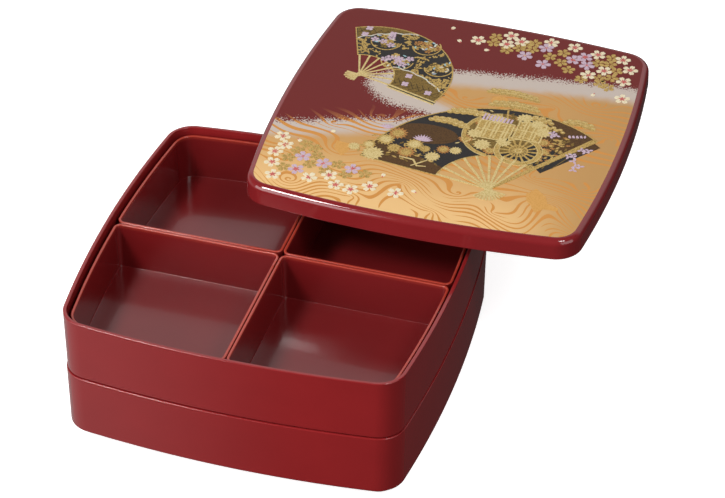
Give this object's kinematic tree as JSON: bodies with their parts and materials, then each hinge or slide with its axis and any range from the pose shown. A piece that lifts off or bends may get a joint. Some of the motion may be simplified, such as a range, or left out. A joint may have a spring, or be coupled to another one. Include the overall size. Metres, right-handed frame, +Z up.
{
  "type": "bento lunch box",
  "caption": "Square stacking lunch box with bowed sides: lacquered tiers, loose trays inside each, and a flat printed lid held to one side.",
  "frame": {"origin": "centre of the lower tier's flat underside", "axes": "+Z up; X and Y are square to the sides, with the front towards -Y"},
  "size_m": [0.318, 0.376, 0.124],
  "materials": {
    "tier_lacquer": "red-brown urethane lacquer on moulded ABS, glossy",
    "tray_lacquer": "dark red lacquer on moulded ABS, soft gloss",
    "lid_lacquer": "red-brown lacquer with a gold and silver printed top, glossy"
  },
  "bodies": {
    "lower_tier": {"lower_tier": "tier_lacquer"},
    "lower_tray_front_left": {"lower_tray_front_left": "tray_lacquer"},
    "lower_tray_front_right": {"lower_tray_front_right": "tray_lacquer"},
    "lower_tray_back_left": {"lower_tray_back_left": "tray_lacquer"},
    "lower_tray_back_right": {"lower_tray_back_right": "tray_lacquer"},
    "upper_tier": {"upper_tier": "tier_lacquer"},
    "upper_tray_front_left": {"upper_tray_front_left": "tray_lacquer"},
    "upper_tray_front_right": {"upper_tray_front_right": "tray_lacquer"},
    "upper_tray_back_left": {"upper_tray_back_left": "tray_lacquer"},
    "upper_tray_back_right": {"upper_tray_back_right": "tray_lacquer"},
    "lid": {"lid": "lid_lacquer"}
  },
  "joints": [
    {"name": "lower_tray_front_left_lift", "type": "slide", "parent": "lower_tier", "child": "lower_tray_front_left", "axis": [0, 0, 1], "range_m": [0, 0.05]},
    {"name": "lower_tray_front_right_lift", "type": "slide", "parent": "lower_tier", "child": "lower_tray_front_right", "axis": [0, 0, 1], "range_m": [0, 0.05]},
    {"name": "lower_tray_back_left_lift", "type": "slide", "parent": "lower_tier", "child": "lower_tray_back_left", "axis": [0, 0, 1], "range_m": [0, 0.05]},
    {"name": "lower_tray_back_right_lift", "type": "slide", "parent": "lower_tier", "child": "lower_tray_back_right", "axis": [0, 0, 1], "range_m": [0, 0.05]},
    {"name": "upper_tier_lift", "type": "slide", "parent": "lower_tray_front_left", "child": "upper_tier", "axis": [0, 0, 1], "range_m": [0, 0.05]},
    {"name": "upper_tray_front_left_lift", "type": "slide", "parent": "upper_tier", "child": "upper_tray_front_left", "axis": [0, 0, 1], "range_m": [0, 0.05]},
    {"name": "upper_tray_front_right_lift", "type": "slide", "parent": "upper_tier", "child": "upper_tray_front_right", "axis": [0, 0, 1], "range_m": [0, 0.05]},
    {"name": "upper_tray_back_left_lift", "type": "slide", "parent": "upper_tier", "child": "upper_tray_back_left", "axis": [0, 0, 1], "range_m": [0, 0.05]},
    {"name": "upper_tray_back_right_lift", "type": "slide", "parent": "upper_tier", "child": "upper_tray_back_right", "axis": [0, 0, 1], "range_m": [0, 0.05]},
    {"name": "lid_slide", "type": "slide", "parent": "upper_tray_back_left", "child": "lid", "axis": [-0.4955, -0.864, -0.0889], "range_m": [0, 0.1574]}
  ],
  "couplings": [
    {"joint": "lower_tray_front_right_lift", "follows": "lower_tray_front_left_lift", "ratio": 1},
    {"joint": "lower_tray_back_left_lift", "follows": "lower_tray_front_left_lift", "ratio": 1},
    {"joint": "lower_tray_back_right_lift", "follows": "lower_tray_front_left_lift", "ratio": 1},
    {"joint": "upper_tray_back_right_lift", "follows": "upper_tray_back_left_lift", "ratio": 1}
  ]
}
